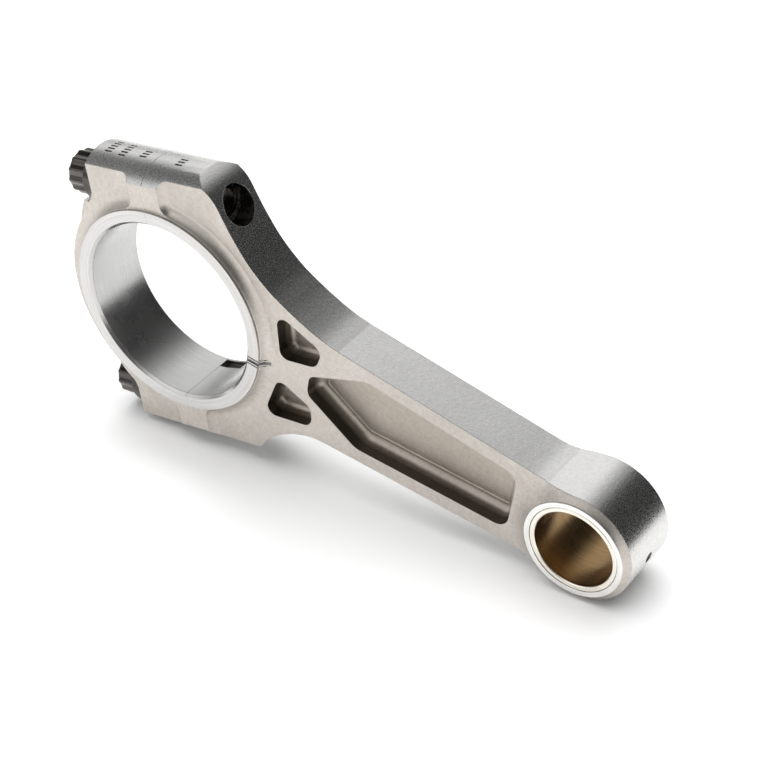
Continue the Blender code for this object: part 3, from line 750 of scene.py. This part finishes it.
def classify(c, n):
    """Material index of a rod or cap face from its centre and normal, in rod millimetres."""
    x, y, z = c
    r = math.hypot(x, y)
    rs = math.hypot(x - CENTRES, y)
    u, v = rod_to_split(x, y)
    nu, nv = rod_to_split(n[0], n[1])
    flat = abs(n[2]) > 0.9
    # index 6, the dark hole steel, paints shade into the notch, oil grooves, tally marks, pin housing and bolt holes
    if 0.0 < u < 7.7 and v < -24.0 and -8.65 < z < -5.15 and r > BORE_R + 0.06:
        return 6
    if abs(y) < 1.3 and BORE_R + 1.2 < x < 33.1 and abs(z) > 7.4 and (abs(z) < RING_Z - 0.2 or abs(n[1]) > 0.9):
        if x < RING_R or abs(n[1]) > 0.9 or r > RING_R and abs(n[0]) < 0.95 and abs(y) < 0.46:
            return 6
    under = CROWN_V + math.sqrt(max(0.0, CROWN_R ** 2 - z * z)) - v
    if 0.06 < under < 0.5 and abs(z) < 6.0 and any(a - 0.05 < u < b + 0.05 for a, b, _ in MARKS):
        return 6
    if abs(abs(v) - CROWN_V - math.sqrt(max(0.0, CROWN_R ** 2 - z * z))) < 0.12 and abs(nv) > 0.55 and SEAT_U < u < 24.0:
        return 1
    if r < BORE_R + 1.4 and abs(z) < RING_Z + 0.01 and not (flat and abs(z) > RING_Z - 0.01):
        return 5 if abs(n[2]) < 0.3 else 3
    if flat and abs(z) > TAB_Z + 0.2 and r < RING_R + 0.1:
        return 3
    if abs(z) > BOSS_Z - 0.2 and rs < BOSS_R + 0.02:
        return 4
    if rs < HOUSING_R + 0.6:
        return 4 if abs(z) > BOSS_Z - 0.6 else 6
    if abs(u) < KERF and abs(nu) > 0.99:
        return 7
    dv = math.hypot(abs(v) - BOLT_V, z)
    if dv < HOLE_R + 0.35 and u < 33.0 and (abs(nu) < 0.7 or u < 8.0) and u > SEAT_U + 0.1:
        if abs(v) > BOLT_V - HOLE_R - 0.5:
            return 6
    if dv < SPOT_FACE_R + 0.05 and u < SEAT_U + 0.1 and nu < -0.9:
        return 7
    if 44.0 < x < 110.0 and abs(y) < 12.4 and abs(z) < FACE_Z - 0.05:
        return 2
    if 31.5 < x < 49.0 and 2.8 < abs(y) < 18.4 and abs(z) < FACE_Z - 0.05 and not on_outline(x, y) and r > BORE_R + 3.0:
        return 2
    if abs(n[2]) < 0.12 and (abs(y) > beam_half(x) - 1.2 or abs(v) > FLAT_V - 0.3 or u < -20.0 or rs < BARREL_R + 0.1 or x > 20.0):
        return 1
    return 0


OUTLINE = [Vector(p) for p in rod_outline()]


def on_outline(x, y):
    p = Vector((x, y))
    best = 1e9
    for i in range(len(OUTLINE)):
        a, b = OUTLINE[i - 1], OUTLINE[i]
        d = b - a
        if d.length_squared < 1e-12:
            continue
        t = max(0.0, min(1.0, (p - a).dot(d) / d.length_squared))
        best = min(best, (a + d * t - p).length)
    return best < 0.35


def finish_mesh(ob, classified=False, sharp=30.0):
    mesh = ob.data
    if classified:
        # judge each face at the centre of its largest triangle, which is always on the face
        best = {}
        mesh.calc_loop_triangles()
        for t in mesh.loop_triangles:
            if t.area > best.get(t.polygon_index, (0.0, None))[0]:
                best[t.polygon_index] = (t.area, t.center.copy())
        for p in mesh.polygons:
            at = best[p.index][1] if p.index in best else p.center
            p.material_index = classify(at / MM, p.normal)
    mesh.shade_smooth()
    mesh.set_sharp_from_angle(angle=math.radians(sharp))
    mod = ob.modifiers.new("weighted", "WEIGHTED_NORMAL")
    mod.keep_sharp = True
    mod.weight = 60
    mod.mode = "FACE_AREA_WITH_ANGLE"


# ------------------------------------------------------------------ assembly
blank = build_blank(ROD_MATS)
body = bpy.data.objects.new("rod_forging", blank.data.copy())
cap = bpy.data.objects.new("cap_forging", blank.data.copy())
for ob in (body, cap):
    bpy.context.scene.collection.objects.link(ob)
boolean(body, half_space(1.0), "INTERSECT", 0.02)
boolean(cap, half_space(-1.0), "INTERSECT", 0.02)
bpy.data.objects.remove(blank, do_unlink=True)
for ob in (body, cap):
    finish_mesh(ob, classified=True)

SPLIT = Matrix.Rotation(math.radians(SPLIT_ANGLE), 4, "Z")
bush = build_bushing("bushing_bronze_fine", (BRONZE, BRONZE_FACE))
for p in bush.data.polygons:
    p.material_index = 1 if abs(p.normal.z) > 0.5 else 0
finish_mesh(bush)
placed = [(body, Matrix.Identity(4), "rod", "rod_body", "peened_steel"),
          (cap, Matrix.Identity(4), "cap", "rod_cap", "peened_steel"),
          (bush, Matrix.Translation((CENTRES * MM, 0.0, 0.0)), "rod", "small_end_bushing", "bushing_bronze")]
for word, sign in (("upper", 1.0), ("lower", -1.0)):
    bolt = build_bolt("bolt_fine_" + word, (BOLT,))
    finish_mesh(bolt)
    sleeve = build_sleeve("sleeve_fine_" + word, (SLEEVE,))
    finish_mesh(sleeve)
    at_seat = SPLIT @ Matrix.Translation((SEAT_U * MM, sign * BOLT_V * MM, 0.0))
    at_joint = SPLIT @ Matrix.Translation((0.0, sign * BOLT_V * MM, 0.0))
    placed.append((bolt, at_seat, "bolt_" + word, "cap_bolt_" + word, "bolt_steel"))
    placed.append((sleeve, at_joint, "rod", "dowel_sleeve_" + word, "sleeve_steel"))
for ob, local, rides, cad, slot in placed:
    ob.data.transform(ROD @ local)
    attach(ob, rides)
    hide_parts(cad)

# ------------------------------------------------------------------- staging
bm = bmesh.new()
bmesh.ops.create_grid(bm, x_segments=1, y_segments=1, size=6.0)
floor = add_object("floor", bm)
floor_mat, tree, shader = new_material("pale_floor")
shader.inputs["Base Color"].default_value = (0.92, 0.92, 0.92, 1.0)
shader.inputs["Roughness"].default_value = 0.7
shader.inputs["Specular IOR Level"].default_value = 0.2
floor.data.materials.append(floor_mat)

# a black card stands to the right, seen only in reflections
bm = bmesh.new()
bm.faces.new([bm.verts.new(p) for p in ((0.145, 0.0, 0.0), (0.145, 0.70, 0.0), (0.145, 0.70, 0.22), (0.145, 0.0, 0.22))])
card = add_object("black_card", bm)
card_mat, tree, shader = new_material("black_card")
shader.inputs["Base Color"].default_value = (0.025, 0.025, 0.025, 1.0)
shader.inputs["Roughness"].default_value = 0.9
card.data.materials.append(card_mat)
card.visible_camera = False
card.visible_diffuse = False
card.visible_shadow = False

# The studio: a broad white softbox up on the left, open sky above, and a dark side on the right, as
# brightness against the angle about the pin axis (degrees from straight up, positive to the right).
STUDIO = ((-180.0, 0.95), (-120.0, 0.60), (-98.0, 0.42), (-80.0, 0.42), (-68.0, 0.76), (-55.0, 1.15), (-20.0, 1.15),
          (-8.0, 0.82), (2.0, 0.50), (12.0, 0.30), (22.0, 0.11), (35.0, 0.060), (60.0, 0.040), (95.0, 0.045),
          (112.0, 0.14), (135.0, 0.60), (160.0, 0.95))
world = bpy.data.worlds.new("studio")
bpy.context.scene.world = world
world.use_nodes = True
wt = world.node_tree
background = wt.nodes["Background"]
direction = node(wt, "ShaderNodeSeparateXYZ")
wt.links.new(node(wt, "ShaderNodeTexCoord").outputs["Generated"], direction.inputs[0])
about = math_node(wt, "ARCTAN2", direction.outputs["X"], direction.outputs["Z"])
ramp = node(wt, "ShaderNodeValToRGB")
wt.links.new(remap(wt, about, -math.pi, math.pi, 0.0, 1.0), ramp.inputs["Fac"])
ramp.color_ramp.interpolation = "EASE"
elements = ramp.color_ramp.elements
for i, (degrees, level) in enumerate(STUDIO):
    e = elements[i] if i < 2 else elements.new(1.0)
    e.position = (degrees + 180.0) / 360.0
    e.color = (level, level, level, 1.0)
across = math_node(wt, "SQRT", math_node(wt, "ADD",
                                         math_node(wt, "MULTIPLY", direction.outputs["X"], direction.outputs["X"]),
                                         math_node(wt, "MULTIPLY", direction.outputs["Z"], direction.outputs["Z"])))
studio = mix_colour(wt, remap(wt, across, 0.15, 0.5, 0.0, 1.0), (0.5, 0.5, 0.5), ramp.outputs["Color"])
# a dark strip runs overhead, square to the pin axis
overhead = remap(wt, direction.outputs["Z"], 0.38, 0.62, 0.0, 1.0)
strip = remap(wt, math_node(wt, "ABSOLUTE", direction.outputs["Y"]), 0.28, 0.56, 0.91, 0.0)
studio = mix_colour(wt, math_node(wt, "MULTIPLY", overhead, strip), studio, (0.02, 0.02, 0.02))
# to the right the strip is a pale panel
panel = remap(wt, math_node(wt, "ABSOLUTE", direction.outputs["Y"]), 0.10, 0.30, 1.0, 0.0)
rightward = remap(wt, direction.outputs["X"], -0.15, 0.10, 0.0, 1.0)
studio = mix_colour(wt, math_node(wt, "MULTIPLY", panel, rightward), studio, (0.42, 0.42, 0.42))
backdrop = mix_colour(wt, node(wt, "ShaderNodeLightPath").outputs["Is Camera Ray"], studio, (0.97, 0.97, 0.97))
wt.links.new(backdrop, background.inputs["Color"])
background.inputs["Strength"].default_value = 1.0

# even light for the floor only, soft and from above
sun_data = bpy.data.lights.new("floor_light", "SUN")
sun_data.energy = 3.4
sun_data.angle = math.radians(80.0)
sun = bpy.data.objects.new("floor_light", sun_data)
bpy.context.scene.collection.objects.link(sun)
sun.rotation_euler = (Vector((0.12, -0.18, -1.0))).to_track_quat("-Z", "Y").to_euler()
sun.visible_glossy = False


# ------------------------------------------------------------------- camera
eye = Vector((0.28478, -0.36090, 0.36927))
right = Vector((0.88417, 0.46700, 0.02750)).normalized()
aim = Vector((0.01009, 0.00000, 0.03703))
forward = (aim - eye).normalized()
side = (right - forward * right.dot(forward)).normalized()
up = side.cross(forward)
camera_data = bpy.data.cameras.new("camera")
camera_data.sensor_width = 36.0
camera_data.lens = 102.0
camera_data.clip_start = 0.01
camera = bpy.data.objects.new("camera", camera_data)
bpy.context.scene.collection.objects.link(camera)
camera.matrix_world = Matrix(((side.x, up.x, -forward.x, eye.x), (side.y, up.y, -forward.y, eye.y),
                              (side.z, up.z, -forward.z, eye.z), (0.0, 0.0, 0.0, 1.0)))
bpy.context.scene.camera = camera
bpy.context.scene.view_settings.view_transform = "Standard"

bpy.context.view_layer.update()
